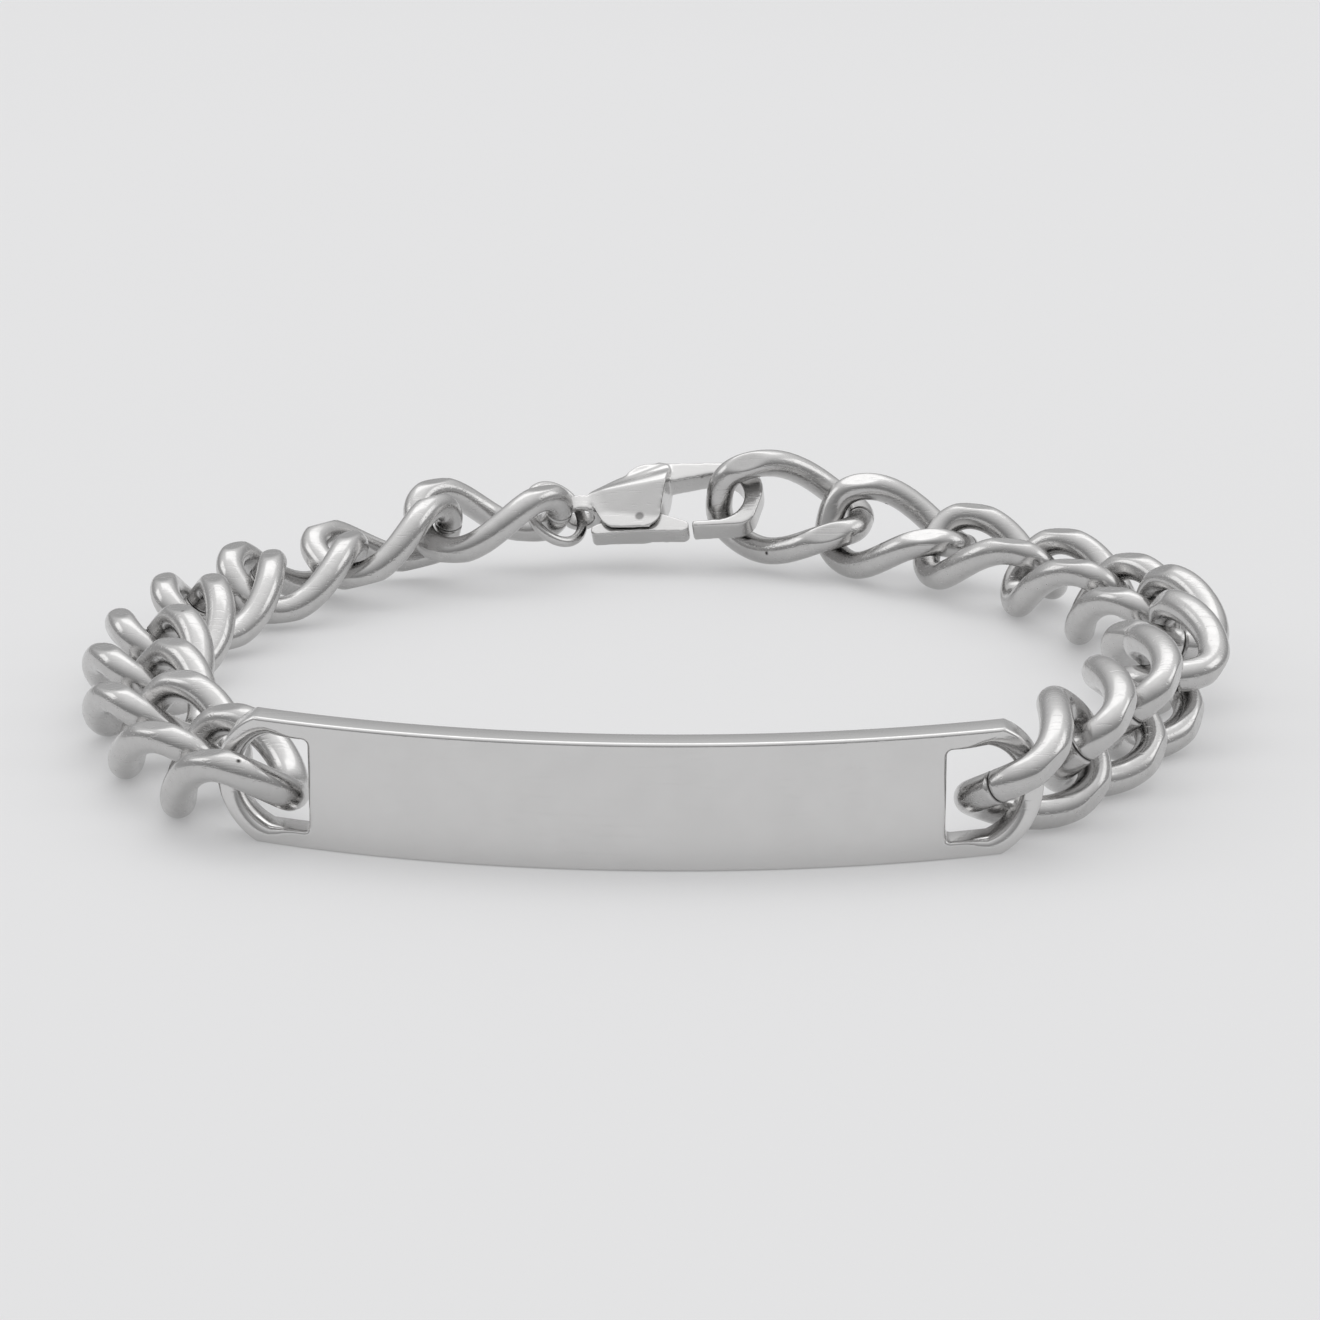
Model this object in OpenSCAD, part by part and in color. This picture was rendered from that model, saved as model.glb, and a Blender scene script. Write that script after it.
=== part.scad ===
// Id bracelet: a bent name plate standing on its long edge, two runs of
// twisted curb links, a jump ring and a lobster clasp that closes the loop.
// X runs along the plate, Y from the plate to the clasp, Z is up.

/* [Plate] */
// Length of the plate along its bend
plate_len = 44; // [43.5:0.1:44.5]
// Height of the plate as it stands on its long edge
plate_h = 6.8; // [6.7:0.1:7]
// Thickness of the plate
plate_t = 1.8; // [1.6:0.1:1.9]
// Bend radius of the plate's outer face
plate_r = 53; // [52.5:0.1:53.5]
// Length of the blank panel between the two slots, along the bend
panel_len = 33.2; // [32.8:0.1:33.4]
// Height of the slots
slot_h = 4.9; // [4.8:0.1:5.1]
// Metal left at the tip of each end, outside the slot
end_bar = 1.3; // [1.1:0.1:1.4]
// Radius of the plate's round ends
end_r = 3.8; // [3.5:0.1:4]
// Radius of the slots' round ends
slot_r = 2.6; // [2.5:0.1:3]

/* [Chain] */
// Distance between the centres of neighbouring links
link_pitch = 7.4; // [7.35:0.01:7.45]
// Wire diameter of the links
wire_d = 1.8; // [1.7:0.05:1.8]
// Free play between neighbouring links
link_play = 0.25; // [0.22:0.01:0.27]
// Half width of a link, measured to the wire's centre line
link_half_w = 2.92; // [2.9:0.01:2.94]
// Twist of a link from one end to the other, in degrees
link_twist = 88; // [86:1:90]
// Roundness of the link's outline, 1 for an oval and less for a stadium
link_round = 0.75; // [0.74:0.01:0.76]
// Half thickness of a link over its two ground flats
link_ground = 2.2; // [2.15:0.01:2.2]

/* [Jump ring] */
// Inside diameter of the jump ring
jump_id = 3.5; // [3.4:0.05:3.6]
// Wire diameter of the jump ring
jump_wire = 0.7; // [0.5:0.1:0.7]

/* [Clasp] */
// Thickness of the clasp's shell
shell_t = 3.2; // [3:0.1:3.4]
// Thickness of the clasp's hook
hook_t = 1.6; // [1.5:0.05:1.6]
// Thickness of the eye at the end of the clasp
eye_t = 1.1; // [1:0.1:1.2]
// Thickness of the lever
lever_t = 1.3; // [1.2:0.05:1.3]
// Running gap round the lever
lever_gap = 0.1; // [0.08:0.01:0.12]
// Diameter of the hinge pin
pin_d = 0.9; // [0.8:0.1:1]
// Angle between the clasp and the surface, measured round its long axis
clasp_lean = 38; // [37.5:0.5:38.5]

/* [Hidden] */
// Middle of the closed loop, measured from the plate's outer face
loop_middle = [0.2, 32.4];

// Number of links on the right and on the left of the plate
right_links = 10;
left_links = 9;
link_count = right_links + left_links;

// Points round a link and sides of its wire
ring_n = 16;
wire_n = 8;

// Half length of a link, measured to the wire's centre line
link_half_l = (link_pitch + wire_d + link_play) / 2;

// Centre of the link nearest the plate, and the heading away from the plate
right_start = [21.3, 6.9];
right_heading = 56;
left_start = [-21.2, 6.9];
left_heading = 127;

// [link counted from the plate, turn to the next link in degrees]
right_turn = [[1, 7], [2, 9.5], [5, 13], [8, 16], [9, 15.5]];
left_turn = [[1, -10.5], [3, -10.5], [6, -15.5], [8, -15.5]];

// [link counted from the plate, roll in degrees: 0 upright, 90 leaning flat outward]
right_roll = [[1, 17], [2, 2], [3, 2], [4, 36], [6, 80], [8, 88], [9, 64], [10, 36]];
left_roll = [[1, -77], [3, -81], [4, -81], [5, -82], [7, -87], [8, -73], [9, -90]];

// [link counted from the plate, rise of the end away from the plate in degrees]
right_tilt = [[1, 1], [3, -2], [5, -4.5], [7, -3], [8, 3.5], [9, 5], [10, 7]];
left_tilt = [[1, -6], [2, -0.5], [3, 0], [4, -0.5], [5, 1.5], [7, -0.5], [8, 5.5], [9, 0]];

// [link counted from the plate, height that the link is held clear of the surface]
right_lift = [[1, 0.2], [3, 0], [7, 0.2], [8, 0.4], [9, 0.2], [10, 0.7]];
left_lift = [[1, 0], [7, 0.2], [8, 0.6], [9, 1.9]];

// [link counted from the plate, own turn away from the run's heading in degrees]
right_skew = [[1, 0], [2, 5], [3, -1], [4, 3], [5, 1], [8, 2], [10, 3]];
left_skew = [[1, -4], [2, 4], [3, -1], [4, 1], [9, -3]];

function link_name(i) = str("link_", i < 10 ? "0" : "", i);

steel = "silver";

// Moves a piece from the plate's face to the middle of the loop
module centred()
  translate([-loop_middle[0], -loop_middle[1], 0]) children();

// Vectors
function unit(v) = v / norm(v);
function mean(list) = [for (i = list) 1] * list / len(list);

// Run of the chain, link by link away from the plate
function sum_turn(table, k) = k <= 1 ? 0 : lookup(k - 1, table) + sum_turn(table, k - 1);
function step(heading) = link_pitch * [cos(heading), sin(heading)];
function run_heading(start, table, k) = start + sum_turn(table, k);
function run_centre(p, start, table, k) =
  k <= 1 ? p :
  run_centre(p, start, table, k - 1)
    + step((run_heading(start, table, k - 1) + run_heading(start, table, k)) / 2);

// One link in its own frame: travel, outward and up
function soft(v) = sign(v) * pow(abs(v), link_round);
function link_point(a, roll) =
  let (x = link_half_l * soft(cos(a)))
  let (r = link_half_w * soft(sin(a)))
  let (lean = roll - link_twist / 2 * sin(90 * x / link_half_l))
  [x, r * sin(lean), r * cos(lean)];
function link_curve(roll, forward, tilt) =
  let (along = [cos(forward), sin(forward), 0])
  let (out = [along[1], -along[0], 0])
  let (nose = along * cos(tilt) + [0, 0, sin(tilt)])
  let (top = cross(out, nose))
  [for (i = [0 : ring_n - 1])
    let (p = link_point(360 * i / ring_n, roll))
    p[0] * nose + p[1] * out + p[2] * top];

// Points of a round wire swept along a closed curve
function wire_points(curve, d, sides) =
  let (n = len(curve))
  let (mid = mean(curve))
  [for (i = [0 : n - 1])
    let (t = unit(curve[(i + 1) % n] - curve[(i + n - 1) % n]))
    let (o = curve[i] - mid)
    let (u = unit(o - (o * t) * t))
    let (v = cross(t, u))
    for (j = [0 : sides - 1])
      curve[i] + d / 2 * (cos(360 * j / sides) * u + sin(360 * j / sides) * v)];

module closed_wire(points, sides) {
  n = len(points) / sides;
  polyhedron(
    points,
    [for (i = [0 : n - 1], j = [0 : sides - 1])
      let (i2 = (i + 1) % n)
      let (j2 = (j + 1) % sides)
      for (half = [0, 1])
        half == 0
          ? [i * sides + j, i2 * sides + j, i2 * sides + j2]
          : [i * sides + j, i2 * sides + j2, i * sides + j2]]
  );
}

// Wire points held between the two planes that the link's broad sides are ground to
function link_normal(roll, forward, tilt) =
  let (along = [cos(forward), sin(forward), 0])
  let (out = [along[1], -along[0], 0])
  let (nose = along * cos(tilt) + [0, 0, sin(tilt)])
  cos(roll) * out - sin(roll) * cross(out, nose);
function ground(points, n, g) =
  [for (p = points) p - (p * n - max(-g, min(g, p * n))) * n];

module placed_link(centre, forward, roll, tilt, lift) {
  wire = wire_points(link_curve(roll, forward, tilt), wire_d, wire_n);
  points = ground(wire, link_normal(roll, forward, tilt), link_ground);
  low = min([for (p = points) p[2]]);
  translate([centre[0], centre[1], lift - low]) closed_wire(points, wire_n);
}

module right_link(k)
  placed_link(
    run_centre(right_start, right_heading, right_turn, k),
    run_heading(right_heading, right_turn, k) + lookup(k, right_skew),
    lookup(k, right_roll),
    lookup(k, right_tilt),
    lookup(k, right_lift)
  );

module left_link(k)
  placed_link(
    run_centre(left_start, left_heading, left_turn, k),
    run_heading(left_heading, left_turn, k) + lookup(k, left_skew) + 180,
    lookup(k, left_roll),
    -lookup(k, left_tilt),
    lookup(k, left_lift)
  );

module chain_link(i)
  color(steel)
  centred()
  if (i <= right_links) right_link(i);
  else left_link(link_count + 1 - i);

// Plate, drawn flat and cut from a bent bar
function across(s) = plate_r * sin(s / plate_r * 180 / PI);
plate_half = across(plate_len / 2);
slot_in = across(panel_len / 2);
slot_tip = across(plate_len / 2 - end_bar);
plate_span = plate_len / plate_r * 180 / PI;

module bent_bar()
  translate([0, plate_r, 0])
  rotate([0, 0, -90 - plate_span / 2])
  rotate_extrude(angle = plate_span, $fn = 180)
  translate([plate_r - plate_t, 0])
  square([plate_t, plate_h]);

// Bar with round ends, drawn about its middle
module stadium(inner, tip, height, r) {
  square([2 * (tip - r), height], center = true);
  for (side = [-1, 1])
    intersection() {
      translate([side * (tip - r), 0]) circle(r, $fn = 96);
      square([2 * tip, height], center = true);
    }
}

module slot_outline()
  difference() {
    stadium(slot_in, slot_tip, slot_h, slot_r);
    square([2 * slot_in, plate_h], center = true);
  }

module through_plate()
  translate([0, plate_r / 2, plate_h / 2])
  rotate([90, 0, 0])
  linear_extrude(plate_r)
  children();

module id_plate()
  color(steel)
  centred()
  intersection() {
    bent_bar();
    through_plate()
    difference() {
      stadium(0, plate_half, plate_h, end_r);
      slot_outline();
    }
  }

// Clasp, drawn flat: X from the eye to the hook, Y from the lever to the shoulder
clasp_at = [-1.2, 62.1, 4.2];
clasp_heading = 3;
clasp_tilt = -7;
eye_at = [-5.5, -0.1];
eye_hole_r = 0.85;
eye_r = 1.25;
pin_at = [-1.6, -1.75];
lever_end = [1.1, -2.65];
lever_tail = [-4.5, -2.15];
crown_start = -4.9;
crown_end = 0.7;
hub_r = 0.95;
lever_end_r = 0.45;
lever_tail_r = 0.4;
pin_len = 2.4;

module disc(at, r)
  translate(at) circle(r, $fn = 64);

module at_clasp()
  centred()
  translate(clasp_at)
  rotate([clasp_lean, clasp_tilt, clasp_heading])
  children();

module slab(t)
  translate([0, 0, -t / 2]) linear_extrude(t) children();

module shell_outline()
  hull() {
    disc([-4.1, 0.4], 0.8);
    disc([-0.7, 1.8], 1.4);
    disc([-1.4, -1.4], 1.2);
    disc([-3.1, -1.3], 1.1);
  }

// Cross section of the shell: [height in the clasp's plane, half thickness]
shoulder_crown = [[3.3, 0.5], [1.2, 1.6], [-1.9, 1.5], [-2.7, 1.15]];
eye_crown = [[1.3, 0.5], [0.5, 1.05], [-1.9, 1.05], [-2.4, 0.95]];

module crown_section(x, half)
  translate([x, 0, 0])
  rotate([90, 0, 90])
  linear_extrude(0.01)
  hull()
  for (side = [-1, 1])
    polygon([for (p = half) [p[0], side * p[1]]]);

module crown()
  hull() {
    crown_section(crown_start, eye_crown);
    crown_section(crown_end, shoulder_crown);
  }

module hook_outline()
  hull() {
    disc([-0.9, 1.2], 1.6);
    disc([4.4, -0.2], 2.3);
    disc([4.8, -1.9], 1.3);
    disc([-1.6, -1.3], 1.3);
  }

module hook_window()
  hull() {
    disc([0.55, 0.05], 0.95);
    disc([3.5, -0.65], 1.9);
    disc([0.3, -1.4], 0.95);
  }

// Part of the hook's ring that the lever closes
module gate_gap()
  polygon([[-0.9, -1.2], [1.2, -1.2], [1.75, -2.1], [1.75, -4], [-0.9, -4]]);

// Middle of the shell, open below for the lever
module lever_slot()
  polygon([[-5.5, -0.75], [0.4, -0.75], [0.4, -4], [-5.5, -4]]);

module eye_disc(r, h)
  translate([eye_at[0], eye_at[1], 0])
  rotate([90, 0, 0])
  cylinder(h = h, r = r, center = true, $fn = 64);

module clasp_body()
  color(steel)
  at_clasp() {
    difference() {
      union() {
        eye_disc(eye_r, eye_t);
        slab(hook_t)
        difference() {
          hook_outline();
          hook_window();
          gate_gap();
        }
        intersection() {
          slab(shell_t) shell_outline();
          crown();
        }
      }
      eye_disc(eye_hole_r, 2 * eye_t);
      slab(lever_t + 2 * lever_gap) lever_slot();
    }
    translate([pin_at[0], pin_at[1], 0])
    cylinder(h = pin_len, d = pin_d, center = true, $fn = 48);
  }

module lever_outline() {
  hull() {
    disc(pin_at, hub_r);
    disc(lever_end, lever_end_r);
  }
  hull() {
    disc(pin_at, hub_r);
    disc(lever_tail, lever_tail_r);
  }
}

module clasp_lever()
  color(steel)
  at_clasp()
  difference() {
    slab(lever_t) lever_outline();
    translate([pin_at[0], pin_at[1], 0])
    cylinder(h = shell_t, d = pin_d + 2 * lever_gap, center = true, $fn = 48);
  }

// Jump ring, hanging in the clasp's eye
jump_at = [-7.1, -0.75, 1];
jump_turn = [4, 40, 0];

module jump_ring()
  color(steel)
  at_clasp()
  translate(jump_at)
  rotate(jump_turn)
  rotate_extrude($fn = 64)
  translate([(jump_id + jump_wire) / 2, 0])
  circle(d = jump_wire, $fn = 32);

id_plate();
for (i = [1 : link_count])
  chain_link(i);
jump_ring();
clasp_body();
clasp_lever();
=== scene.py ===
"""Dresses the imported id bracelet: a polished name plate, curb chain and lobster clasp on a pale floor."""

import logging
import math
from dataclasses import dataclass, replace
from enum import Enum
from typing import Any, Sequence

import bmesh
import bpy
from mathutils import Euler, Matrix, Vector
from mathutils.geometry import delaunay_2d_cdt
from mathutils.kdtree import KDTree


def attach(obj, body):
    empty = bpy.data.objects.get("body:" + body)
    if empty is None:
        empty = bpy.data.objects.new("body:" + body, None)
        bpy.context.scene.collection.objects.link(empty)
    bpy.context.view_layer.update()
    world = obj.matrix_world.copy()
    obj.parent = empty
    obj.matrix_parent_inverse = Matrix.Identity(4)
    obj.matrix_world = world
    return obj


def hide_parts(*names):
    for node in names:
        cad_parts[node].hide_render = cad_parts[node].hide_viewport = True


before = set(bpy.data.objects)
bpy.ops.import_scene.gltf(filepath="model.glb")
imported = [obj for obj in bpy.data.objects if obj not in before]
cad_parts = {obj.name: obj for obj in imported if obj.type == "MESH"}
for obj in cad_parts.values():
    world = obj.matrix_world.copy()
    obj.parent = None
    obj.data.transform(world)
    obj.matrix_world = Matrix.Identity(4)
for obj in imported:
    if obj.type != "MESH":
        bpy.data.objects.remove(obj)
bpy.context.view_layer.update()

MM = 0.001
LOG = logging.getLogger("id_bracelet")

# The clasp's place and turn in the row frame, in millimetres and degrees
CLASP_AT = (-1.4, 29.7, 4.2)
CLASP_TURN = (38.0, -7.0, 3.0)

# Middles of its hinge pin and its eye, in its own frame
CLASP_PIN = (-1.6, -1.75, 0.0)
CLASP_EYE = (-5.5, -0.1, 0.0)

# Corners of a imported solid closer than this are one, in millimetres
WELD = 1e-4

PIT_SCALE = 900.0
DIRT = (0.05, 0.048, 0.046, 1.0)
BLACK = (0.0, 0.0, 0.0, 1.0)
PALE = (1.0, 1.0, 1.005, 1.0)

Point = tuple[float, float]
Triple = tuple[float, float, float]
Rim = list[tuple[Point, Point]]
Table = tuple[Point, ...]


class Body(Enum):
    """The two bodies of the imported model."""

    BRACELET = "bracelet"
    LEVER = "lever"


class Side(Enum):
    """The two runs of the chain, as seen from the plate's outer face."""

    RIGHT = "right"
    LEFT = "left"


def ramp(value: float, start: float, length: float) -> float:
    """A share that grows from 0 at the start to 1 at the end of a length, which may be negative.

    Args:
        value: Where the share is read.
        start: Where it begins to grow.
        length: How far it takes to reach 1.

    Returns:
        The share, between 0 and 1.
    """
    return min(1.0, max(0.0, (value - start) / length))


def clasp_frame() -> Matrix:
    """The clasp's frame in the row frame, in millimetres: X along it, Y across, Z along its pin."""
    turn = Euler([math.radians(a) for a in CLASP_TURN], "XYZ")
    return Matrix.Translation(CLASP_AT) @ turn.to_matrix().to_4x4()


class Graph:
    """Places and joins the nodes of one node tree."""

    def __init__(self, tree: bpy.types.NodeTree) -> None:
        """Keeps the tree that the nodes go into."""
        self.tree = tree

    def feed(self, socket: bpy.types.NodeSocket, value: Any) -> None:
        """Links a socket to an input, or sets the input's own value.

        Args:
            socket: The input to feed.
            value: Another node's output, or a plain value.
        """
        if isinstance(value, bpy.types.NodeSocket):
            self.tree.links.new(value, socket)
        else:
            socket.default_value = value

    def add(self, kind: str, inputs: dict[Any, Any] | None = None, **settings: Any) -> bpy.types.Node:
        """Adds one node.

        Args:
            kind: Blender's name of the node type.
            inputs: Values or sockets by input name or number.
            **settings: Properties of the node, set before its inputs.

        Returns:
            The new node.
        """
        node = self.tree.nodes.new(kind)
        for key, value in settings.items():
            setattr(node, key, value)
        for key, value in (inputs or {}).items():
            self.feed(node.inputs[key], value)
        return node

    def place(self, space: str = "Object") -> bpy.types.NodeSocket:
        """Adds the coordinates of the shaded point in that space."""
        return self.add("ShaderNodeTexCoord").outputs[space]

    def math(self, operation: str, *values: Any) -> bpy.types.NodeSocket:
        """Adds a Math node.

        Args:
            operation: The operation's name.
            *values: Its inputs in order, numbers or sockets.

        Returns:
            The node's output socket.
        """
        return self.add("ShaderNodeMath", dict(enumerate(values)), operation=operation).outputs[0]

    def stretch(self, value: Any, span: Point, to: Point = (0.0, 1.0)) -> bpy.types.NodeSocket:
        """Maps a value from one span to another, clamped.

        Args:
            value: The value to map.
            span: Lowest and highest value read.
            to: What they become.

        Returns:
            The mapped value's socket.
        """
        node = self.add("ShaderNodeMapRange", {0: value, 1: span[0], 2: span[1], 3: to[0], 4: to[1]})
        return node.outputs[0]

    def blend(self, share: Any, low: Any, high: Any) -> bpy.types.NodeSocket:
        """Mixes two colours by a share.

        Args:
            share: How much of the second colour is taken.
            low: The first colour.
            high: The second colour.

        Returns:
            The mixed colour's socket.
        """
        node = self.add("ShaderNodeMix", {0: share, 6: low, 7: high}, data_type="RGBA")
        return node.outputs[2]


def open_group(name: str, inputs: dict[str, float], outputs: Sequence[str]) -> tuple[Graph, Any, Any]:
    """Starts a shader node group with float sockets.

    Args:
        name: The group's name.
        inputs: Names of its inputs and their usual values.
        outputs: Names of its outputs.

    Returns:
        The group's graph, its input node and its output node.
    """
    tree = bpy.data.node_groups.new(name, "ShaderNodeTree")
    for key, value in inputs.items():
        tree.interface.new_socket(key, in_out="INPUT", socket_type="NodeSocketFloat").default_value = value
    for key in outputs:
        tree.interface.new_socket(key, in_out="OUTPUT", socket_type="NodeSocketFloat")
    graph = Graph(tree)
    return graph, graph.add("NodeGroupInput"), graph.add("NodeGroupOutput")


@dataclass(frozen=True)
class WearGroups:
    """The shader groups that the steel finishes share."""

    hairlines: bpy.types.NodeTree
    haze: bpy.types.NodeTree
    pits: bpy.types.NodeTree

    @staticmethod
    def build() -> "WearGroups":
        """Builds the three groups once."""
        return WearGroups(WearGroups.build_hairlines(), WearGroups.build_haze(), WearGroups.build_pits())

    @staticmethod
    def build_hairlines() -> bpy.types.NodeTree:
        """Fine polishing scratches that run several ways.

        Returns:
            A group with inputs Scale and Amount and outputs Mask and Height.
        """
        graph, source, target = open_group("hairlines", {"Scale": 1.0, "Amount": 1.0}, ("Mask", "Height"))
        ways = ((0.3, 0.5, 0.1), (1.1, -0.4, 0.9), (-0.7, 1.3, 2.0))
        drawn_out = (120.0, 5200.0, 5200.0)
        crests = (0.64, 0.74)
        place = graph.place()
        total: Any = 0.0
        for way in ways:
            mapped = graph.add("ShaderNodeMapping", {"Vector": place, "Rotation": way, "Scale": drawn_out})
            sized = graph.add("ShaderNodeVectorMath", {0: mapped.outputs[0]}, operation="SCALE")
            graph.feed(sized.inputs["Scale"], source.outputs["Scale"])
            lines = graph.add("ShaderNodeTexNoise", {"Vector": sized.outputs[0], "Scale": 1.0, "Detail": 1.5})
            total = graph.math("ADD", total, graph.stretch(lines.outputs[0], crests))
        mask = graph.math("MULTIPLY", graph.math("MINIMUM", total, 1.0), source.outputs["Amount"])
        graph.feed(target.inputs["Mask"], mask)
        graph.feed(target.inputs["Height"], graph.math("MULTIPLY", mask, -1.0))
        return graph.tree

    @staticmethod
    def build_haze() -> bpy.types.NodeTree:
        """Cloudy change of the polish, as wiping leaves it.

        Returns:
            A group with inputs Scale and Amount and output Value.
        """
        graph, source, target = open_group("haze", {"Scale": 300.0, "Amount": 1.0}, ("Value",))
        clear_to_cloudy = (0.35, 0.7)
        cloud = graph.add("ShaderNodeTexNoise", {"Vector": graph.place(), "Detail": 3.0, "Roughness": 0.6})
        graph.feed(cloud.inputs["Scale"], source.outputs["Scale"])
        share = graph.stretch(cloud.outputs[0], clear_to_cloudy)
        graph.feed(target.inputs["Value"], graph.math("MULTIPLY", share, source.outputs["Amount"]))
        return graph.tree

    @staticmethod
    def build_pits() -> bpy.types.NodeTree:
        """Rare small pits and specks.

        Returns:
            A group with inputs Scale and Share and outputs Mask and Height.
        """
        graph, source, target = open_group("pits", {"Scale": PIT_SCALE, "Share": 0.03}, ("Mask", "Height"))
        pit_edge = (0.05, 0.16)
        cells = graph.add("ShaderNodeTexVoronoi", {"Vector": graph.place()})
        graph.feed(cells.inputs["Scale"], source.outputs["Scale"])
        near = graph.stretch(cells.outputs["Distance"], pit_edge, (1.0, 0.0))
        pick = graph.add("ShaderNodeSeparateColor", {0: cells.outputs["Color"]}).outputs[0]
        chosen = graph.math("LESS_THAN", pick, source.outputs["Share"])
        mask = graph.math("MULTIPLY", near, chosen)
        graph.feed(target.inputs["Mask"], mask)
        graph.feed(target.inputs["Height"], graph.math("MULTIPLY", mask, -1.0))
        return graph.tree


def open_material(name: str) -> tuple[bpy.types.Material, Graph, bpy.types.Node]:
    """Starts a material with the usual shader.

    Args:
        name: The material's name.

    Returns:
        The material, its graph and its shader.
    """
    material = bpy.data.materials.new(name)
    material.use_nodes = True
    return material, Graph(material.node_tree), material.node_tree.nodes["Principled BSDF"]


@dataclass(frozen=True)
class SteelFinish:
    """One polished steel finish, with how far each kind of wear changes it.

    Attributes:
        name: The material's name.
        colour: Colour of the clean steel.
        roughness: Its roughness.
        hairline_scale: How fine the hairlines are.
        hairlines: How much they show.
        haze: How much the haze shows.
        pit_share: Share of the cells that hold a pit.
        haze_scale: How fine the haze is.
        seams: Whether the wire's seam is dark.
        rivet: Whether the end of the hinge pin shows.
        haze_tint: The haze's colour as a share of the steel's.
        haze_dulls: Roughness that full haze adds.
        hairlines_dull: Roughness that a hairline adds.
        dirt_dulls: Roughness that dirt adds.
        bump: Strength of the relief.
        bump_depth: Depth of the relief, in metres.
        seam_edge: Where the seam's dirt starts and is full.
        rivet_edge: Where the pin's tone starts to fade and is gone, in metres.
        rivet_tone: How dark the pin's end is.
    """

    name: str
    colour: Triple
    roughness: float = 0.2
    hairline_scale: float = 1.2
    hairlines: float = 0.9
    haze: float = 1.0
    pit_share: float = 0.02
    haze_scale: float = 420.0
    seams: bool = False
    rivet: bool = False
    haze_tint: float = 0.94
    haze_dulls: float = 0.05
    hairlines_dull: float = 0.12
    dirt_dulls: float = 0.3
    bump: float = 0.25
    bump_depth: float = 0.02 * MM
    seam_edge: Point = (0.3, 0.8)
    rivet_edge: Point = (0.22 * MM, 0.36 * MM)
    rivet_tone: float = 0.6

    def material(self, groups: WearGroups) -> bpy.types.Material:
        """Builds the finish as a procedural material.

        Args:
            groups: The shared wear groups.

        Returns:
            The new material.
        """
        material, graph, shader = open_material(self.name)
        shader.inputs["Metallic"].default_value = 1.0
        amounts = {"Scale": self.hairline_scale, "Amount": self.hairlines}
        lines = graph.add("ShaderNodeGroup", amounts, node_tree=groups.hairlines)
        amounts = {"Scale": self.haze_scale, "Amount": self.haze}
        haze = graph.add("ShaderNodeGroup", amounts, node_tree=groups.haze).outputs["Value"]
        amounts = {"Scale": PIT_SCALE, "Share": self.pit_share}
        pits = graph.add("ShaderNodeGroup", amounts, node_tree=groups.pits)
        dark = pits.outputs["Mask"]
        if self.seams:
            seam = graph.add("ShaderNodeAttribute", attribute_name="seam").outputs["Fac"]
            dark = graph.math("MAXIMUM", dark, graph.stretch(seam, self.seam_edge))
        if self.rivet:
            dark = graph.math("MAXIMUM", dark, self.rivet_end(graph))
        hazy = (*(c * self.haze_tint for c in self.colour), 1.0)
        tint = graph.blend(haze, (*self.colour, 1.0), hazy)
        graph.feed(shader.inputs["Base Color"], graph.blend(dark, tint, DIRT))
        rough: Any = self.roughness
        for wear, dulls in (
            (haze, self.haze_dulls),
            (lines.outputs["Mask"], self.hairlines_dull),
            (dark, self.dirt_dulls),
        ):
            rough = graph.math("ADD", rough, graph.math("MULTIPLY", wear, dulls))
        graph.feed(shader.inputs["Roughness"], rough)
        height = graph.math("ADD", lines.outputs["Height"], pits.outputs["Height"])
        relief = {"Strength": self.bump, "Distance": self.bump_depth, "Height": height}
        graph.feed(shader.inputs["Normal"], graph.add("ShaderNodeBump", relief).outputs[0])
        return material

    def rivet_end(self, graph: Graph) -> bpy.types.NodeSocket:
        """Marks the end of the hinge pin where it comes through the shell.

        Args:
            graph: The material's graph.

        Returns:
            The mark's share, strongest at the pin's middle line.
        """
        place = graph.place()
        clasp = clasp_frame()
        pin_at, pin_way = clasp @ Vector(CLASP_PIN) * MM, clasp.col[2].to_3d()
        off = graph.add("ShaderNodeVectorMath", {0: place, 1: pin_at}, operation="SUBTRACT").outputs[0]
        turned = graph.add("ShaderNodeVectorMath", {0: off, 1: pin_way}, operation="CROSS_PRODUCT").outputs[0]
        away = graph.add("ShaderNodeVectorMath", {0: turned}, operation="LENGTH").outputs["Value"]
        return graph.stretch(away, self.rivet_edge, (self.rivet_tone, 0.0))


def lookup(table: Table, k: float) -> float:
    """Reads a table of (link, value) rows with straight lines between them.

    Args:
        table: Rows in rising order.
        k: Link counted from the plate.

    Returns:
        The value at that link.
    """
    if k <= table[0][0]:
        return table[0][1]
    for (k0, v0), (k1, v1) in zip(table, table[1:]):
        if k <= k1:
            return v0 + (v1 - v0) * (k - k0) / (k1 - k0)
    return table[-1][1]


def inside(p: Vector, outline: Sequence[Vector]) -> bool:
    """Whether a point lies inside a closed outline.

    Args:
        p: The point.
        outline: Corners of the outline in order.

    Returns:
        True if it does.
    """
    found = False
    for a, b in zip(outline, [*outline[1:], outline[0]]):
        if (a.y > p.y) != (b.y > p.y) and p.x < a.x + (b.x - a.x) * (p.y - a.y) / (b.y - a.y):
            found = not found
    return found


def new_object(name: str, mesh: bpy.types.Mesh) -> bpy.types.Object:
    """Links a new object with that mesh into the scene.

    Args:
        name: The piece's name.
        mesh: Its mesh, already in place.

    Returns:
        The new object.
    """
    made = bpy.data.objects.new(name, mesh)
    bpy.context.scene.collection.objects.link(made)
    return made


def bake(made: bpy.types.Object) -> None:
    """Turns an object's modifiers into its plain mesh.

    Args:
        made: The object with live modifiers.
    """
    graph = bpy.context.evaluated_depsgraph_get()
    graph.update()
    mesh = bpy.data.meshes.new_from_object(made.evaluated_get(graph))
    made.modifiers.clear()
    made.data = mesh


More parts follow.
